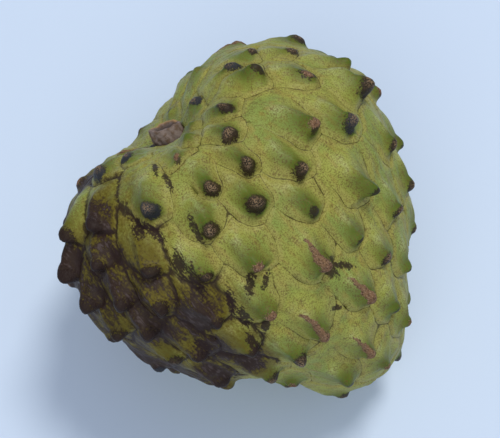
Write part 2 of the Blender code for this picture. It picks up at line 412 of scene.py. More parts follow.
@dataclass
class Relief:
    """How the carpels stand on the body, in the part's own sizes, and the finer forms that are added here."""

    below_knob: float = 4.4
    above_knob: float = 20.0
    beside_knob: float = 6.8
    ridge_length: float = 16.0
    level_ridge: float = 3.0
    ridge_height: float = 3.0
    ridge_half_width: float = 3.4
    knob_height: float = 1.9
    knob_radius: float = 2.9
    knob_lean: float = 0.45
    cushion_height: float = 0.6
    cushion_edge: float = 4.0
    blend: float = 14.0
    groove_depth: float = 0.36
    groove_half_width: float = 0.3
    lip_height: float = 0.27
    lip_from_furrow: float = 1.25
    lip_half_width: float = 0.6
    crest_height: float = 0.2
    crest_half_width: float = 0.8
    flattening: float = 0.75
    dome_power: float = 0.7
    swell_height: float = 0.16
    swell_length: float = 11.0
    fine_swell: float = 0.3
    fine_swell_length: float = 3.5
    fold_height: float = 0.12
    fold_length: float = 3.4
    fold_stretch: float = 0.2
    wander: float = 0.55
    wander_length: float = 9.0
    faintest_line: float = 0.12
    line_grows: tuple[float, float] = (-11, -1)
    neighbours: int = 12

    def near(self, points: Array, body: Body, carpels: Carpels) -> Near:
        """Measures every point against the carpels nearest to it.

        Args:
            points: Places on the smooth body.
            body: The body.
            carpels: The carpels on it.

        Returns:
            The measures.
        """
        drift = [ripple(points, self.wander_length, seed) for seed in (1, 2, 3)]
        moved = points + self.wander * np.stack(drift, axis=1)
        distance = np.linalg.norm(moved[:, None] - carpels.knobs[None], axis=2)
        which = np.argpartition(distance, self.neighbours, axis=1)[:, : self.neighbours]
        ways, across = body.ways(carpels.knobs)
        apart = moved[:, None] - carpels.knobs[which]
        down = (apart * ways[which]).sum(axis=2)
        beside = (apart * across[which]).sum(axis=2)
        through = np.sqrt(np.maximum((apart**2).sum(axis=2) - down**2 - beside**2, 0))
        girth = np.sqrt(carpels.sizes)[which]
        reach = np.where(down > 0, self.below_knob, self.above_knob) * girth
        measure = (down / reach) ** 2 + (beside / (self.beside_knob * girth)) ** 2
        measure = np.sqrt(measure + (through / self.beside_knob) ** 2)
        order = np.argsort(measure, axis=1)
        nearest = np.take_along_axis(measure, order, axis=1)
        owned = np.exp(-self.blend * (measure - nearest[:, :1]))
        owned /= owned.sum(axis=1)[:, None]
        to_furrow = (nearest[:, 1] - nearest[:, 0]) * self.beside_knob / 2
        lower = np.take_along_axis(down, order[:, :2], axis=1).max(axis=1)
        line = self.faintest_line + (1 - self.faintest_line) * smooth_step(*self.line_grows, lower)
        return Near(which, down, beside, through, owned, to_furrow, line)

    def from_knob(self, near: Near, carpels: Carpels) -> Array:
        """Each point's distance to each knob near it, against the knob's radius."""
        distance = np.sqrt(near.down**2 + near.beside**2 + near.through**2)
        return distance / (self.knob_radius * np.sqrt(carpels.sizes[near.which]))

    def rise(self, points: Array, near: Near, carpels: Carpels) -> tuple[Array, Array]:
        """How far the skin stands above the smooth body, and how much of that leans towards the tip.

        Args:
            points: Places on the smooth body.
            near: Their measures.
            carpels: The carpels.

        Returns:
            A height for each point, and a height for each point and carpel near it.
        """
        sizes = carpels.sizes[near.which]
        girth = np.sqrt(sizes)
        cushion = self.cushion_height * smooth_step(0, self.cushion_edge, near.to_furrow)
        uphill = smooth_step(-self.ridge_length, -self.level_ridge, near.down) * (near.down < 0)
        above = uphill + np.exp(-((near.down / self.knob_radius) ** 4)) * (near.down >= 0)
        side = np.exp(-((near.beside / (self.ridge_half_width * girth)) ** 2))
        ridge = self.ridge_height * sizes**2 * above * side
        flat = 1 - self.flattening * carpels.share_of(Tip.FLAT)[near.which]
        dome = np.clip(1 - self.from_knob(near, carpels) ** 2, 0, None) ** self.dome_power
        knob = flat * self.knob_height * sizes**2 * dome
        crest = self.crest_height * uphill * np.exp(-((near.beside / self.crest_half_width) ** 2))
        height = cushion + (near.owned * (ridge + knob + crest)).sum(axis=1)
        groove = np.exp(-((near.to_furrow / self.groove_half_width) ** 2))
        lip = np.exp(-(((near.to_furrow - self.lip_from_furrow) / self.lip_half_width) ** 2))
        height += near.line * (self.lip_height * lip - self.groove_depth * groove)
        swell = ripple(points, self.swell_length, 4)
        swell = swell + self.fine_swell * ripple(points, self.fine_swell_length, 5)
        folds = ripple(points * np.array([self.fold_stretch, 1, 1]), self.fold_length, 6)
        height += self.swell_height * swell + self.fold_height * folds
        return height, near.owned * knob * self.knob_lean


@dataclass(frozen=True)
class Cap:
    """A round mark at each knob: its shift towards the tip in millimetres, and its edges in knob radii."""

    shift: float
    edge: float
    full: float


@dataclass
class Markings:
    """Where the skin is bruised and stained, and the numbers that its finish reads at each point."""

    bruises: tuple[Spot, ...] = (
        Spot(49, 160, 9, 9), Spot(62, 162, 11, 11), Spot(71, 157, 12, 11), Spot(72, 176, 17, 17),
        Spot(83, 160, 13, 13), Spot(91, 149, 9, 9), Spot(105, 153, 10, 9), Spot(118, 148, 8, 7),
        Spot(58, 184, 12, 12), Spot(70, 196, 19, 19), Spot(85, 180, 16, 16), Spot(87, 139, 9, 6),
        Spot(82, 212, 25, 25), Spot(100, 192, 20, 20), Spot(34, 190, 7, 7),
        Spot(60, 206, 20, 20), Spot(116, 186, 13, 12), Spot(115, 165, 9, 7),
        Spot(48, 156, 15, 13, depth=0.42), Spot(64, 149, 14, 12, depth=0.42),
        Spot(80, 146, 13, 11, depth=0.4), Spot(93, 138, 12, 10, depth=0.36),
        Spot(111, 143, 12, 9, depth=0.38),
    )
    stains: tuple[Spot, ...] = (
        Spot(57, 144, 4, 2), Spot(60, 140, 5, 1.6, 20), Spot(67, 127, 5, 1.2, -10),
        Spot(73, 138, 5, 2.4, -15), Spot(80, 137, 6, 2.2, -20), Spot(91, 124, 5, 1.6, -50),
        Spot(95, 120, 3.5, 1.2, -60), Spot(101, 135, 5, 1.8, -20), Spot(109, 132, 4, 1.6, -50),
        Spot(60, 46, 3.4, 1.2, 10), Spot(60, 46, 3.0, 1.1, 70), Spot(60, 46, 3.0, 1.1, -50),
        Spot(109, 98, 5, 2.2, 10), Spot(114, 94, 4.5, 1.2, 40), Spot(126, 107, 2, 1.1, 60),
        Spot(112, 141, 5, 1.6, -20), Spot(101, 154, 4, 2), Spot(93, 134, 6, 1.6, -30),
        Spot(41, 129, 4, 0.9), Spot(48, 126, 4, 0.9), Spot(113, 99, 3, 2),
    )
    # A spot has faded out at this many times its reach
    fades_out: float = 1.5
    cap: Cap = Cap(shift=0.8, edge=1.2, full=0.75)
    crusted_end: Cap = Cap(shift=1.3, edge=0.85, full=0.5)
    # The bead: each knob's middle, where the caps' pale specks are kept as a painted highlight on the knob's
    # top
    bead: Cap = Cap(shift=0.1, edge=0.85, full=0.3)
    cork_radius: float = 0.62
    # Rises, ends and falls are distances from the knob along its ridge, positive towards the tip
    flank_half_width: float = 4.2
    flank_rise: tuple[float, float] = (-11, -1.5)
    flank_end: float = 4.5
    flank_by_size: float = 1.3
    crest_half_width: float = 2.2
    crest_rise: tuple[float, float] = (-15, -9)
    crest_fall: tuple[float, float] = (0, -5)
    strip_half_widths: tuple[float, float] = (0.5, 1.4)
    strip_widens: tuple[float, float] = (-9, 0)
    strip_edge: tuple[float, float] = (1.5, 0.6)
    strip_aside: float = 0.4
    strip_sway: float = 0.2
    strip_sway_rate: float = 1.7
    strip_rise: tuple[float, float] = (-11, -9)
    strip_fall: tuple[float, float] = (2.6, 1.6)

    def reach(self, spots: tuple[Spot, ...], points: Array, body: Body) -> Array:
        """How deep in any of the spots each point is.

        Args:
            spots: The spots.
            points: Places on the smooth body.
            body: The body.

        Returns:
            1 in a spot's middle, and 0 from its edge outwards.
        """
        polar = np.radians([spot.polar for spot in spots])
        turn = np.radians([spot.turn for spot in spots])
        middles = body.point(polar, turn)
        ways, across = body.ways(middles)
        found = np.zeros(len(points))
        for spot, middle, way, side in zip(spots, middles, ways, across):
            heading = radians(spot.heading)
            long_way = way * np.cos(heading) + side * np.sin(heading)
            short_way = side * np.cos(heading) - way * np.sin(heading)
            apart = points - middle
            deep = (apart @ long_way / spot.along) ** 2 + (apart @ short_way / spot.across) ** 2
            flat = (apart @ long_way) ** 2 + (apart @ short_way) ** 2
            third = np.maximum((apart**2).sum(axis=1) - flat, 0)
            deep += third / max(spot.along, spot.across) ** 2
            found = np.maximum(found, spot.depth * np.clip(self.fades_out - np.sqrt(deep), 0, 1))
        return found

    def covered(self, cap: Cap, near: Near, relief: Relief, sizes: Array) -> Array:
        """How far each point lies inside a mark at each knob near it.

        Args:
            cap: The mark.
            near: The points' measures.
            relief: The carpels' relief.
            sizes: The sizes of the carpels near each point.

        Returns:
            1 in the mark's full part, and 0 from its edge outwards.
        """
        distance = np.sqrt((near.down - cap.shift) ** 2 + near.beside**2 + near.through**2)
        return smooth_step(cap.edge, cap.full, distance / (relief.knob_radius * np.sqrt(sizes)))

    def strip(self, near: Near) -> Array:
        """How far each point lies on a strip up the ridge of each carpel near it.

        Args:
            near: The points' measures.

        Returns:
            1 on the strip, and 0 beside it.
        """
        narrow, wide = self.strip_half_widths
        half = narrow + (wide - narrow) * smooth_step(*self.strip_widens, near.down)
        sway = self.strip_aside + self.strip_sway * np.sin(self.strip_sway_rate * near.down)
        found = smooth_step(*self.strip_edge, np.abs(near.beside + sway) / half)
        return found * smooth_step(*self.strip_rise, near.down) * smooth_step(*self.strip_fall, near.down)

    def measure(
        self, points: Array, near: Near, body: Body, carpels: Carpels, relief: Relief
    ) -> dict[str, Array]:
        """The named numbers that the skin's finish reads.

        Args:
            points: Places on the smooth body.
            near: Their measures.
            body: The body.
            carpels: The carpels.
            relief: Their relief.

        Returns:
            A number for each point under each name.
        """
        sizes = carpels.sizes[near.which]
        cap = self.covered(self.cap, near, relief, sizes)
        end = self.covered(self.crusted_end, near, relief, sizes)
        dried = np.exp(-((relief.from_knob(near, carpels) / self.cork_radius) ** 4))
        dried *= carpels.share_of(Tip.CAPPED, Tip.CORKY, Tip.FLAT)[near.which]
        strip = self.strip(near) * carpels.share_of(Tip.CORKY)[near.which]
        # The flanks beside each ridge by its knob: partly deeper green skin, partly painted shade
        flank = np.exp(-((near.beside / self.flank_half_width) ** 2)) * (near.down < self.flank_end)
        flank *= smooth_step(*self.flank_rise, near.down) * np.clip(self.flank_by_size * sizes, 0, 1)
        # The crest of each ridge above its knob, where a painted highlight is laid
        crest = np.exp(-((near.beside / self.crest_half_width) ** 2))
        crest *= smooth_step(*self.crest_rise, near.down) * smooth_step(*self.crest_fall, near.down)
        marks = {
            "cap": cap * carpels.share_of(Tip.DARK, Tip.BLUE)[near.which],
            # Each knob's middle, where the painted highlight of pale specks goes
            "bead": self.covered(self.bead, near, relief, sizes),
            "blue": cap * carpels.share_of(Tip.BLUE)[near.which],
            "tipped": end * carpels.share_of(Tip.GREEN, Tip.CORKY, Tip.CAPPED)[near.which],
            "cork": np.maximum(strip, dried),
            "flank": flank,
            "crest": crest,
        }
        found = {name: (near.owned * value).sum(axis=1) for name, value in marks.items()}
        found["furrow"] = near.to_furrow
        found["line"] = near.line
        found["bruise"] = self.reach(self.bruises, points, body)
        found["stain"] = self.reach(self.stains, points, body)
        return found


@dataclass(frozen=True)
class Clouds:
    """An uneven pattern: its clouds' width in millimetres, how many finer ones lie over them, and its way."""

    name: str
    width: float
    detail: float
    along: bool = False


@dataclass
class Layers:
    """A material in the making: named patterns, and colours laid over each other through them.

    Every size is in millimetres along the fruit's own axes. A test is a value or its name, from 0 to 1, or a
    value with two edges: the number at which it counts as 0 and the one from which it counts as 1.
    """

    name: str
    tilt: float
    colour: Any
    stretch: float = 0.2
    mark_fades: tuple[float, float] = (0.02, 0.2)
    dot_edge: float = 0.06
    values: dict[str, Any] = field(default_factory=dict)
    made: Any = field(init=False)
    tree: Any = field(init=False)
    own: Any = field(init=False)

    def begin(self, clouds: tuple[Clouds, ...], marks: tuple[str, ...]) -> None:
        """Starts the material with its patterns and the numbers that the mesh holds.

        Args:
            clouds: The uneven patterns.
            marks: The names of the mesh's numbers.
        """
        self.made = bpy.data.materials.new(self.name)
        self.made.use_nodes = True
        self.tree = self.made.node_tree
        self.tree.nodes.clear()
        place = add(self.tree, "ShaderNodeTexCoord").outputs["Object"]
        turned = {"Rotation": (0, -self.tilt, 0), "Scale": (1 / MM, 1 / MM, 1 / MM)}
        self.own = add(self.tree, "ShaderNodeMapping", turned, {"Vector": place}).outputs["Vector"]
        ways = {False: self.own}
        if any(cloud.along for cloud in clouds):
            # Drawn out along the fruit, for marks that run from the stalk to the tip
            drawn = add(self.tree, "ShaderNodeMapping", {"Scale": (self.stretch, 1, 1)}, {"Vector": self.own})
            ways[True] = drawn.outputs["Vector"]
        for cloud in clouds:
            settings = {"Scale": 1 / cloud.width, "Detail": cloud.detail}
            noise = add(self.tree, "ShaderNodeTexNoise", settings, {"Vector": ways[cloud.along]})
            self.values[cloud.name] = noise.outputs["Fac"]
        for mark in marks:
            held = add(self.tree, "ShaderNodeAttribute", {"attribute_name": mark})
            self.values[mark] = held.outputs["Fac"]

    def value(self, named: Any) -> Any:
        """The output that a name stands for, or the output that was given."""
        return self.values[named] if isinstance(named, str) else named

    def where(self, *tests: Any) -> Any:
        """How far all of the tests are met.

        Args:
            tests: The tests.

        Returns:
            Their product, from 0 to 1.
        """
        product = None
        for test in tests:
            value, *edges = test if isinstance(test, tuple) else (test,)
            met = self.value(value)
            if edges:
                rises = float(edges[0] < edges[1])
                settings = {"interpolation_type": "SMOOTHSTEP", "To Min": 1 - rises, "To Max": rises}
                settings |= {"From Min": min(edges), "From Max": max(edges)}
                met = add(self.tree, "ShaderNodeMapRange", settings, {"Value": met}).outputs["Result"]
            if product is not None:
                links = {0: product, 1: met}
                met = add(self.tree, "ShaderNodeMath", {"operation": "MULTIPLY"}, links).outputs[0]
            product = met
        return product

    def weighed(self, start: float, *terms: tuple[Any, float]) -> Any:
        """A fixed number plus some values, each times its own factor.

        Args:
            start: The fixed number.
            terms: The values, or their names, with their factors.

        Returns:
            The sum.
        """
        links: dict[int, Any] = {}
        for value, factor in terms:
            links[0] = self.value(value)
            settings = {"operation": "MULTIPLY_ADD", 1: factor, 2: start}
            links[2] = add(self.tree, "ShaderNodeMath", settings, links).outputs[0]
        return links[2]

    def frayed(self, mark: str, by: float, *noises: str) -> Any:
        """A mark whose edge the patterns break up, without leaving the mark's own patch.

        Args:
            mark: The mark's name.
            by: How much each pattern moves it.
            noises: The patterns' names.

        Returns:
            The moved mark.
        """
        moved = self.weighed(-by, (mark, 1.0), *((noise, by) for noise in noises))
        return self.where(moved, (mark, *self.mark_fades))

    def dots(self, apart: float, radius: float, *tests: Any) -> Any:
        """Round dots, larger where the tests are met more fully.

        Args:
            apart: The distance from one dot to the next.
            radius: A full dot's radius against that distance.
            tests: Where the dots are.

        Returns:
            1 in a dot, and 0 beside it.
        """
        cells = add(self.tree, "ShaderNodeTexVoronoi", {"Scale": 1 / apart}, {"Vector": self.own})
        inside = self.weighed(0.0, (self.where(*tests), radius), (cells.outputs["Distance"], -1.0))
        return self.where((inside, 0.0, self.dot_edge))

    def cover(self, hex_colour: str, most: float, *tests: Any) -> None:
        """Lays a colour over what is there.

        Args:
            hex_colour: The colour.
            most: How much of it is laid where the tests are met.
            tests: Where it is laid.
        """
        settings = {"data_type": "RGBA", 7: linear(hex_colour)}
        links = {0: self.weighed(0.0, (self.where(*tests), most))}
        if isinstance(self.colour, str):
            settings[6] = linear(self.colour)
        else:
            links[6] = self.colour
        self.colour = add(self.tree, "ShaderNodeMix", settings, links).outputs[2]

    def end(
        self, height: Any, relief: float, shows: float, settings: dict[str, Any], links: dict[str, Any]
    ) -> Any:
        """Ends the material with its fine relief and its shader.

        Args:
            height: The relief's pattern.
            relief: How high it stands where the pattern is 1.
            shows: How much of it shows, from 0 to 1.
            settings: The shader's own values.
            links: What else the shader reads.

        Returns:
            The material.
        """
        bumpy = {"Strength": shows, "Distance": relief * MM}
        bump = add(self.tree, "ShaderNodeBump", bumpy, {"Height": height})
        links = links | {"Base Color": self.colour, "Normal": bump.outputs["Normal"]}
        shader = add(self.tree, "ShaderNodeBsdfPrincipled", settings, links)
        add(self.tree, "ShaderNodeOutputMaterial", links={"Surface": shader.outputs["BSDF"]})
        return self.made


@dataclass(frozen=True)
class CherimoyaSkin:
    """The waxy skin of a ripe cherimoya, as grown.

    The eye gets a satin green that turns from yellow to blue-green, dark lines between the scales, brown
    specks, dried caps on the knobs and a purple-brown bruise.
    """

    yellow_green: str = "#9B9F4B"
    blue_green: str = "#87964A"
    tan: str = "#978341"
    # Painted highlight along the ridges' crests
    crest: str = "#BDC489"
    # Partly the skin's own deeper green, partly painted shade on the ridges' flanks
    flank: str = "#435A10"
    border: str = "#A59C57"
    line: str = "#3D3614"
    grain: str = "#6B6226"
    speck: str = "#5E4527"
    bruised_olive: str = "#5F5417"
    bruise: str = "#2A1A1D"
    # Painted sheen: a silver reflection of the bright surroundings, laid in as colour
    painted_sheen: str = "#6E6262"
    stain: str = "#291A18"
    cork: str = "#7C5C46"
    pale_cork: str = "#A58A72"
    cap: str = "#291C19"
    cap_speck: str = "#8E7558"
    blue_cap: str = "#2E343C"
    roughness: float = 0.43
    cork_roughness: float = 0.85
    ior: float = 1.25
    pores: float = 0.35
    pores_show: float = 0.5
    # A real skin's grain is finer than 0.42 mm, and is drawn at that width so that it shows
    clouds: tuple[Clouds, ...] = (
        Clouds("broad", 18, 2), Clouds("patches", 5, 3), Clouds("mottle", 3.2, 4), Clouds("crust", 0.9, 3),
        Clouds("fine", 0.7, 3), Clouds("rust", 0.6, 2), Clouds("grain", 0.42, 2),
        Clouds("blotch", 8, 3, along=True), Clouds("bands", 2.2, 4, along=True),
        Clouds("streak", 0.9, 4, along=True),
    )
    marks: tuple[str, ...] = (
        "furrow", "line", "crest", "flank", "bruise", "stain", "cap", "bead", "blue", "tipped", "cork",
    )

    def material(self, body: Body) -> Any:
        """Builds the skin's material.

        Args:
            body: The body, whose own axes the patterns follow.

        Returns:
            The material.
        """
        skin = Layers("cherimoya_skin", body.tilt, self.yellow_green)
        skin.begin(self.clouds, self.marks)
        self.lay_greens(skin)
        self.lay_specks(skin)
        self.lay_bruise(skin)
        self.lay_lines_and_stains(skin)
        self.lay_caps(skin)
        self.lay_cork(skin)
        rough = skin.where(skin.weighed(0.0, ("capped", 1.0), ("corky", 1.0)), "crust")
        height = skin.weighed(0.0, ("grain", 0.45), ("mottle", 0.5), (rough, 2.6))
        dull = skin.where(("corky", 0.0, 1.0))
        roughness = skin.weighed(self.roughness, (dull, self.cork_roughness - self.roughness))
        settings = {"IOR": self.ior, "Metallic": 0.0}
        return skin.end(height, self.pores, self.pores_show, settings, {"Roughness": roughness})

    def lay_greens(self, skin: Layers) -> None:
        """The living skin: two greens, tan bands, a painted highlight on the crests, dark flanks that are
        partly the skin's deeper green and partly painted shade, and a pale border by each furrow.

        Args:
            skin: The layers.
        """
        skin.cover(self.blue_green, 1.0, ("broad", 0.42, 0.62))
        skin.cover(self.tan, 0.6, ("bands", 0.46, 0.7))
        # Painted highlight: the pale crest stands in for the light on each ridge's top
        skin.cover(self.crest, 0.65, "crest", ("mottle", 0.3, 0.7))
        # Dark flanks: partly the skin's own deeper green, partly painted shade for the ridge's sides
        skin.cover(self.flank, 0.95, "flank")
        skin.cover(self.border, 0.55, ("furrow", 2.4, 0.9), "line")

    def lay_specks(self, skin: Layers) -> None:
        """The grain and the brown specks, from dust to blots.

        Args:
            skin: The layers.
        """
        skin.cover(self.grain, 0.6, ("grain", 0.47, 0.62))
        skin.cover(self.speck, 0.5, skin.dots(0.9, 0.33, ("patches", 0.34, 0.6)))
        skin.cover(self.speck, 0.5, ("rust", 0.5, 0.6), ("mottle", 0.44, 0.6))
        skin.cover(self.speck, 0.7, skin.dots(2.2, 0.16, ("streak", 0.5, 0.7), ("broad", 0.4, 0.6)))

    def lay_bruise(self, skin: Layers) -> None:
        """The bruise: a worn olive edge, a purple-brown middle, and a painted silver sheen in streaks over
        its deepest part, standing in for the skin's reflection of the bright surroundings.

        Args:
            skin: The layers.
        """
        uneven = skin.weighed(0.0, ("streak", 0.9), ("fine", 0.7), ("blotch", 1.5))
        worn = skin.weighed(-0.93, ("bruise", 1.0), (uneven, 0.6))
        skin.cover(self.bruised_olive, 0.75, (worn, 0.0, 0.5), ("bruise", 0.02, 0.25))
        deep = skin.weighed(-3.17, ("bruise", 1.6), (uneven, 1.7))
        deep = skin.where(deep, ("bruise", 0.02, 0.3))
        skin.cover(self.bruised_olive, 0.9, (deep, 0.1, 0.6))
        skin.cover(self.bruise, 0.92, (deep, 0.45, 1.1))
        # Painted sheen: silver streaks over the bruise's deepest part stand in for a reflection of the bright
        # surroundings
        skin.cover(self.painted_sheen, 0.36, (deep, 0.9, 1.3), ("streak", 0.5, 0.7))

    def lay_lines_and_stains(self, skin: Layers) -> None:
        """The dark line in each furrow, the dirt beside it in the bruise, and the stains.

        Args:
            skin: The layers.
        """
        wide = skin.weighed(0.15, ("furrow", 1.0), ("mottle", -0.3))
        skin.cover(self.line, 0.9, (wide, 0.17, 0.0), "line")
        ragged = skin.weighed(1.2, ("furrow", 1.0), ("streak", -2.4))
        skin.cover(self.stain, 0.85, (ragged, 1.0, 0.2), ("bruise", 0.02, 0.3))
        skin.cover(self.stain, 0.9, (skin.frayed("stain", 1.8, "streak", "fine"), 0.4, 0.85))

    def lay_caps(self, skin: Layers) -> None:
        """The knobs' ends: crusted or capped, blue-grey on some, with pale specks on the caps that are kept
        to each knob's middle as a painted highlight.

        Args:
            skin: The layers.
        """
        skin.cover(self.cap, 0.85, (skin.frayed("tipped", 1.5, "fine", "grain"), 0.4, 0.8))
        capped = skin.where((skin.frayed("cap", 1.5, "fine", "grain"), 0.15, 0.8))
        skin.values["capped"] = capped
        skin.cover(self.cap, 0.95, "capped")
        skin.cover(self.blue_cap, 0.75, "blue", "capped")
        # Pale crust specks on the caps: real specks, kept to the bead in each knob's middle as a painted
        # highlight
        skin.cover(self.cap_speck, 0.9, "capped", "bead", ("grain", 0.46, 0.6), ("bruise", 0.5, 0.1))

    def lay_cork(self, skin: Layers) -> None:
        """The pinkish cork, with dark cracks and pale grains.

        Args:
            skin: The layers.
        """
        corky = skin.where((skin.frayed("cork", 1.3, "grain", "fine"), 0.3, 0.6))
        skin.values["corky"] = corky
        skin.cover(self.cork, 0.9, "corky")
        skin.cover(self.cap, 0.6, "corky", ("fine", 0.5, 0.62))
        skin.cover(self.pale_cork, 0.6, "corky", ("grain", 0.52, 0.66))


@dataclass
class Fruit:
    """The fruit: the body with its carpels, bruise and stains."""

    body: Body
    carpels: Carpels
    relief: Relief = field(default_factory=Relief)
    markings: Markings = field(default_factory=Markings)
    finish: CherimoyaSkin = field(default_factory=CherimoyaSkin)
    squares: int = 127
    pressed_reach: float = 21
    pit_radius: float = 5.7
    pit_edge: tuple[float, float] = (0.7, -0.5)
    pit_depth: float = 2.85
    snap_step: float = 0.05
    snap_most: float = 0.34
    least_slope: float = 0.05
    points_at_once: int = 12000

    def build(self) -> Any:
        """Builds and dresses the fruit.

        Returns:
            The finished object.
        """
        mesh = self.ball()
        points = self.snapped(self.points_of(mesh))
        self.place(mesh, points)
        normals = self.normals_of(mesh)
        height, lean, marks = self.survey(points)
        from_spot = np.linalg.norm(points - self.body.resting_point(), axis=1)
        free = 1 - np.exp(-((from_spot / self.pressed_reach) ** 4))
        from_seat = np.linalg.norm(points[:, 1:] - self.body.seat()[1:], axis=1)
        outer, inner = (self.pit_radius + edge for edge in self.pit_edge)
        pit = smooth_step(outer, inner, from_seat) * (points[:, 0] < 0)
        height = height * (1 - pit) - self.pit_depth * pit
        raised = points + free[:, None] * (normals * height[:, None] + lean)
        self.place(mesh, raised)
        for name, values in marks.items():
            layer = mesh.attributes.new(name, "FLOAT", "POINT")
            layer.data.foreach_set("value", values.astype(np.float32))
        self.press_flat(mesh)
        mesh.transform(self.body.laid_down())
        mesh.shade_smooth()
        mesh.materials.append(self.finish.material(self.body))
        fruit = put_in_scene("fruit_skin", mesh)
        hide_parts("fruit")
        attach(fruit, "root")
        return fruit

    def ball(self) -> Any:
        """A cube with its faces cut into even squares, which becomes the fruit.

        Returns:
            The cube's mesh.
        """
        shape = bmesh.new()
        bmesh.ops.create_cube(shape, size=2)
        bmesh.ops.subdivide_edges(shape, edges=shape.edges, cuts=self.squares - 1, use_grid_fill=True)
        return mesh_of(shape, "fruit_skin")

    def points_of(self, mesh: Any) -> Array:
        """Where the cut cube's corners come to lie on the body.

        Args:
            mesh: The cube.

        Returns:
            A point for each corner.
        """
        corners = np.empty(len(mesh.vertices) * 3)
        mesh.vertices.foreach_get("co", corners)
        return self.body.on_body(np.tan(corners.reshape(-1, 3) * pi / 4))

    def place(self, mesh: Any, points: Array) -> None:
        """Moves the mesh's vertices to the points."""
        mesh.vertices.foreach_set("co", points.astype(np.float32).ravel())
        mesh.update()

    def normals_of(self, mesh: Any) -> Array:
        """The way that the skin faces at each vertex.

        Args:
            mesh: The mesh.

        Returns:
            A unit direction for each vertex.
        """
        normals = np.empty(len(mesh.vertices) * 3)
        mesh.vertex_normals.foreach_get("vector", normals)
        return normals.reshape(-1, 3)

    def snapped(self, points: Array) -> Array:
        """Moves the points that are next to a furrow onto it, so that it gets a crisp bottom.

        Args:
            points: Places on the smooth body.

        Returns:
            Their new places.
        """
        step = self.snap_step
        ways, across = self.body.ways(points)
        here = self.to_furrow(points)
        slope_down = (self.to_furrow(points + step * ways) - here) / step
        slope_across = (self.to_furrow(points + step * across) - here) / step
        slope = np.maximum(slope_down**2 + slope_across**2, self.least_slope)
        move = -(here / slope)[:, None] * (slope_down[:, None] * ways + slope_across[:, None] * across)
        near = np.linalg.norm(move, axis=1) < self.snap_most
        return self.body.on_body(points + near[:, None] * move)

    def to_furrow(self, points: Array) -> Array:
        """Each point's distance to the nearest furrow."""
        parts = np.array_split(points, len(points) // self.points_at_once + 1)
        return np.concatenate([self.relief.near(part, self.body, self.carpels).to_furrow for part in parts])

    def survey(self, points: Array) -> tuple[Array, Array, dict[str, Array]]:
        """Measures the relief and the markings, some thousands of points at once.

        Args:
            points: Places on the smooth body.

        Returns:
            The height of each point, its move towards the tip, and its named numbers.
        """
        ways, _ = self.body.ways(self.carpels.knobs)
        heights, leans, marks = [], [], []
        for part in np.array_split(points, len(points) // self.points_at_once + 1):
            near = self.relief.near(part, self.body, self.carpels)
            height, leaning = self.relief.rise(part, near, self.carpels)
            heights.append(height)
            leans.append((leaning[:, :, None] * ways[near.which]).sum(axis=1))
            marks.append(self.markings.measure(part, near, self.body, self.carpels, self.relief))
        joined = {name: np.concatenate([mark[name] for mark in marks]) for name in marks[0]}
        return np.concatenate(heights), np.concatenate(leans), joined

    def press_flat(self, mesh: Any) -> None:
        """Cuts the lowest part off level, which leaves the flat spot.

        Args:
            mesh: The fruit's mesh, in its own axes.
        """
        down = Vector((np.sin(self.body.tilt), 0, -np.cos(self.body.tilt)))
        spot = Vector(self.body.resting_point()) - down * self.body.pressed
        shape = bmesh.new()
        shape.from_mesh(mesh)
        everything = [*shape.verts, *shape.edges, *shape.faces]
        cut = bmesh.ops.bisect_plane(shape, geom=everything, plane_co=spot, plane_no=down, clear_outer=True)
        rim = [part for part in cut["geom_cut"] if isinstance(part, bmesh.types.BMEdge)]
        bmesh.ops.edgeloop_fill(shape, edges=rim)
        bmesh.ops.recalc_face_normals(shape, faces=shape.faces)
        shape.to_mesh(mesh)
        shape.free()


@dataclass(frozen=True)
class StalkBark:
    """Dry bark on the broken stub of a fruit stalk, with a pale woody rim.

    The eye gets a matt, mottled grey-brown, a golden edge where the wood is broken, and a dark hollow, whose
    dark is partly the broken wood's own and partly painted shade in the recess.
    """

    grey: str = "#857570"
    brown: str = "#66503F"
    dark: str = "#33241A"
    rim: str = "#B08A55"
    roughness: float = 0.85
    cracks: float = 0.4
    cracks_show: float = 0.7
    clouds: tuple[Clouds, ...] = (Clouds("mottle", 1.6, 4), Clouds("fine", 0.5, 3))
    marks: tuple[str, ...] = ("rim", "hollow")

    def material(self, body: Body) -> Any:
        """Builds the bark's material.

        Args:
            body: The body, whose own axes the patterns follow.

        Returns:
            The material.
        """
        bark = Layers("dry_bark", body.tilt, self.grey)
        bark.begin(self.clouds, self.marks)
        bark.cover(self.brown, 0.9, ("mottle", 0.42, 0.62))
        bark.cover(self.dark, 0.6, ("fine", 0.6, 0.75))
        bark.cover(self.rim, 0.95, "rim")
        # The hollow's dark: partly the broken wood's own colour, partly painted shade in the sunken end
        bark.cover(self.dark, 0.85, "hollow")
        height = bark.weighed(0.0, ("mottle", 1.0), ("fine", 0.5))
        settings = {"Roughness": self.roughness, "Metallic": 0.0}
        return bark.end(height, self.cracks, self.cracks_show, settings, {})


@dataclass(frozen=True)
class Wave:
    """A wave round the stub: its height, how many go round, where it starts, and how it turns up the stub."""

    height: float
    count: int
    start: float = 0.0
    twist: float = 0.0

    def at(self, angle: float, up: float) -> float:
        """How far it stands out at an angle, at a height up the stub."""
        return float(self.height * np.sin(self.count * angle + self.start + self.twist * up))


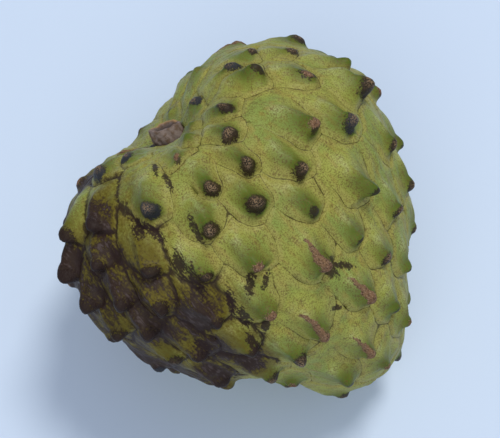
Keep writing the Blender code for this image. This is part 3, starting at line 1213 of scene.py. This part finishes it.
@dataclass
class Stalk:
    """The broken stub of the stalk in the cleft."""

    body: Body
    finish: StalkBark = field(default_factory=StalkBark)
    radius: float = 4.8
    height: float = 6.0
    root: float = 2.5
    sides: int = 72
    rings: int = 26
    hollow_rings: int = 12
    bend: float = 1.6
    bend_curve: float = 1.5
    slant: float = 0.42
    leans_to: tuple[float, float] = (0.6, 0.8)
    free_above: float = 1.5
    swell: float = 0.06
    # The bark's waves are shares of the radius, and the rim's are millimetres
    bark_waves: tuple[Wave, ...] = (Wave(0.05, 3, 0.6), Wave(0.03, 7, 0, 0.5), Wave(0.015, 13, 0, 1.7))
    rim_waves: tuple[Wave, ...] = (Wave(0.24, 3, 1), Wave(0.14, 7), Wave(0.1, 11))
    rim_towards: float = radians(157)
    rim_round: tuple[float, float] = (-0.1, 0.6)
    rim_edge: tuple[float, float] = (0.72, 0.95)
    hollow_edge: tuple[float, float] = (0.9, 0.5)
    hollow_depth: float = 1.4
    hollow_reach: float = 0.9
    slack: float = 0.001

    def build(self) -> Any:
        """Builds and dresses the stub.

        Returns:
            The finished object.
        """
        shape = bmesh.new()
        tall = self.height + self.root
        bmesh.ops.create_cone(
            shape, cap_ends=True, segments=self.sides, radius1=self.radius, radius2=self.radius, depth=tall
        )
        upright = [edge for edge in shape.edges if abs(edge.verts[0].co.z - edge.verts[1].co.z) > tall / 2]
        bmesh.ops.subdivide_edges(shape, edges=upright, cuts=self.rings - 1)
        inset = self.hollow_reach * self.radius / self.hollow_rings
        for _ in range(self.hollow_rings):
            top = [face for face in shape.faces if face.normal.z > 0 and len(face.verts) == self.sides]
            bmesh.ops.inset_region(shape, faces=top, thickness=inset)
            shape.normal_update()
        rim_layer = shape.verts.layers.float.new("rim")
        # Where the broken end is sunk, which the bark darkens partly as painted shade
        hollow_layer = shape.verts.layers.float.new("hollow")
        for vertex in shape.verts:
            self.shape_vertex(vertex, tall, rim_layer, hollow_layer)
        turn = Matrix.Rotation(-pi / 2, 4, "Y")
        middle = Vector(self.body.seat()) + Vector((-(self.height - self.root) / 2, 0, 0))
        bmesh.ops.transform(shape, matrix=Matrix.Translation(middle) @ turn, verts=shape.verts)
        bmesh.ops.transform(shape, matrix=self.body.laid_down(), verts=shape.verts)
        bmesh.ops.recalc_face_normals(shape, faces=shape.faces)
        mesh = mesh_of(shape, "stalk_stub")
        mesh.shade_smooth()
        mesh.materials.append(self.finish.material(self.body))
        stalk = put_in_scene("stalk_stub", mesh)
        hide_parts("stalk")
        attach(stalk, "root")
        return stalk

    def shape_vertex(self, vertex: Any, tall: float, rim_layer: Any, hollow_layer: Any) -> None:
        """Moves one vertex to where the bark or the hollow is, and notes which of the two it is.

        Args:
            vertex: The vertex, in the stub's own axes, with Z up its length.
            tall: The stub's whole length.
            rim_layer: The layer for the broken rim.
            hollow_layer: The layer for the hollow.
        """
        above = vertex.co.z + tall / 2 - self.root
        out = min(vertex.co.xy.length / self.radius, 1)
        free = min(max(above / self.free_above, 0), 1)
        angle = float(np.arctan2(vertex.co.y, vertex.co.x))
        bark = 1 + sum(wave.at(angle, vertex.co.z) for wave in self.bark_waves)
        swell = 1 + self.swell * np.sin(pi * min(max(above / self.height, 0), 1))
        # Only the vertices of the broken end stand at full height
        if above > self.height - self.slack:
            inside = smooth_step(*self.hollow_edge, out)
            ragged = sum(wave.at(angle, 0) for wave in self.rim_waves)
            vertex.co.z += ragged * (1 - inside) - self.hollow_depth * inside
            broken = smooth_step(*self.rim_round, np.cos(angle - self.rim_towards))
            vertex[rim_layer] = broken * smooth_step(*self.rim_edge, out)
            vertex[hollow_layer] = inside
        vertex.co.xy *= 1 + free * (bark * swell - 1)
        lean = Vector(self.leans_to)
        vertex.co.z -= self.slant * free * lean.dot(vertex.co.xy)
        vertex.co.xy += self.bend * (max(above, 0) / self.height) ** self.bend_curve * lean


@dataclass(frozen=True)
class PaleLaminate:
    """A matt white laminate surface, plain and a little blue."""

    colour: str = "#CADBF3"
    roughness: float = 0.6

    def material(self) -> Any:
        """Builds the surface's material.

        Returns:
            The material.
        """
        made = bpy.data.materials.new("pale_laminate")
        made.use_nodes = True
        shader = made.node_tree.nodes["Principled BSDF"]
        shader.inputs["Base Color"].default_value = linear(self.colour)
        shader.inputs["Roughness"].default_value = self.roughness
        return made


@dataclass
class Studio:
    """The pale surface, the soft light and the camera."""

    floor_side: float = 6.0
    lamp_distance: float = 3.0
    lamp_colour: str = "#FFFBF2"
    key_watts: float = 42.0
    key_side: float = 0.9
    key_way: tuple[float, float, float] = (-0.04, 0.32, 0.95)
    fill_watts: float = 30.0
    fill_side: float = 2.5
    fill_way: tuple[float, float, float] = (0.28, -0.62, 0.73)
    sky_colour: str = "#E4EEFF"
    sky_strength: float = 0.46
    camera_place: tuple[float, float, float] = (112.2, -168.8, 461.0)
    camera_aim: tuple[float, float, float] = (0.2, -1.3, 62.0)
    camera_roll: float = radians(6.38)
    lens: float = 98.0
    surface: PaleLaminate = field(default_factory=PaleLaminate)

    def build(self) -> None:
        """Builds the surface, the light and the camera."""
        self.floor()
        self.light()
        self.camera()
        bpy.context.scene.view_settings.view_transform = "Standard"

    def floor(self) -> None:
        """Lays the pale surface."""
        shape = bmesh.new()
        bmesh.ops.create_grid(shape, x_segments=2, y_segments=2, size=self.floor_side / 2)
        mesh = mesh_of(shape, "pale_surface")
        mesh.materials.append(self.surface.material())
        floor = put_in_scene("pale_surface", mesh)

    def light(self) -> None:
        """Hangs two large soft lights and sets the sky's even light."""
        self.lamp("window", self.key_watts, self.key_side, self.key_way)
        self.lamp("white_wall", self.fill_watts, self.fill_side, self.fill_way)
        world = bpy.data.worlds.new("sky")
        world.use_nodes = True
        sky = world.node_tree.nodes["Background"]
        sky.inputs["Color"].default_value = linear(self.sky_colour)
        sky.inputs["Strength"].default_value = self.sky_strength
        bpy.context.scene.world = world

    def lamp(self, name: str, watts: float, side: float, way: tuple[float, float, float]) -> None:
        """Hangs a large round light that faces the fruit.

        Args:
            name: The light's name.
            watts: Its power.
            side: Its width in metres.
            way: The direction from the fruit to it.
        """
        lamp = bpy.data.lights.new(name, "AREA")
        lamp.energy = watts
        lamp.shape = "DISK"
        lamp.size = side
        lamp.color = linear(self.lamp_colour)[:3]
        hung = put_in_scene(name, lamp)
        towards = Vector(way).normalized()
        hung.location = towards * self.lamp_distance
        hung.rotation_euler = towards.to_track_quat("Z", "Y").to_euler()

    def camera(self) -> None:
        """Sets up the camera at the photograph's viewing angle."""
        seen = bpy.data.cameras.new("camera")
        seen.lens = self.lens
        seen.clip_start = 0.01
        camera = put_in_scene("camera", seen)
        place, aim = Vector(self.camera_place) * MM, Vector(self.camera_aim) * MM
        level = (aim - place).to_track_quat("-Z", "Y")
        camera.rotation_euler = (level @ Quaternion((0, 0, 1), self.camera_roll)).to_euler()
        camera.location = place
        bpy.context.scene.camera = camera


def main() -> None:
    """Builds the surface, light and camera, then the fruit and the stalk."""
    logging.basicConfig(level=logging.INFO, format="%(name)s: %(message)s")
    Studio().build()
    body = Body()
    carpels = Carpels()
    carpels.grow(body)
    LOG.info("%d carpels", len(carpels.knobs))
    for piece in (Fruit(body, carpels).build(), Stalk(body).build()):
        LOG.info("%s: %d faces", piece.name, len(piece.data.polygons))


if __name__ == "__main__":
    main()
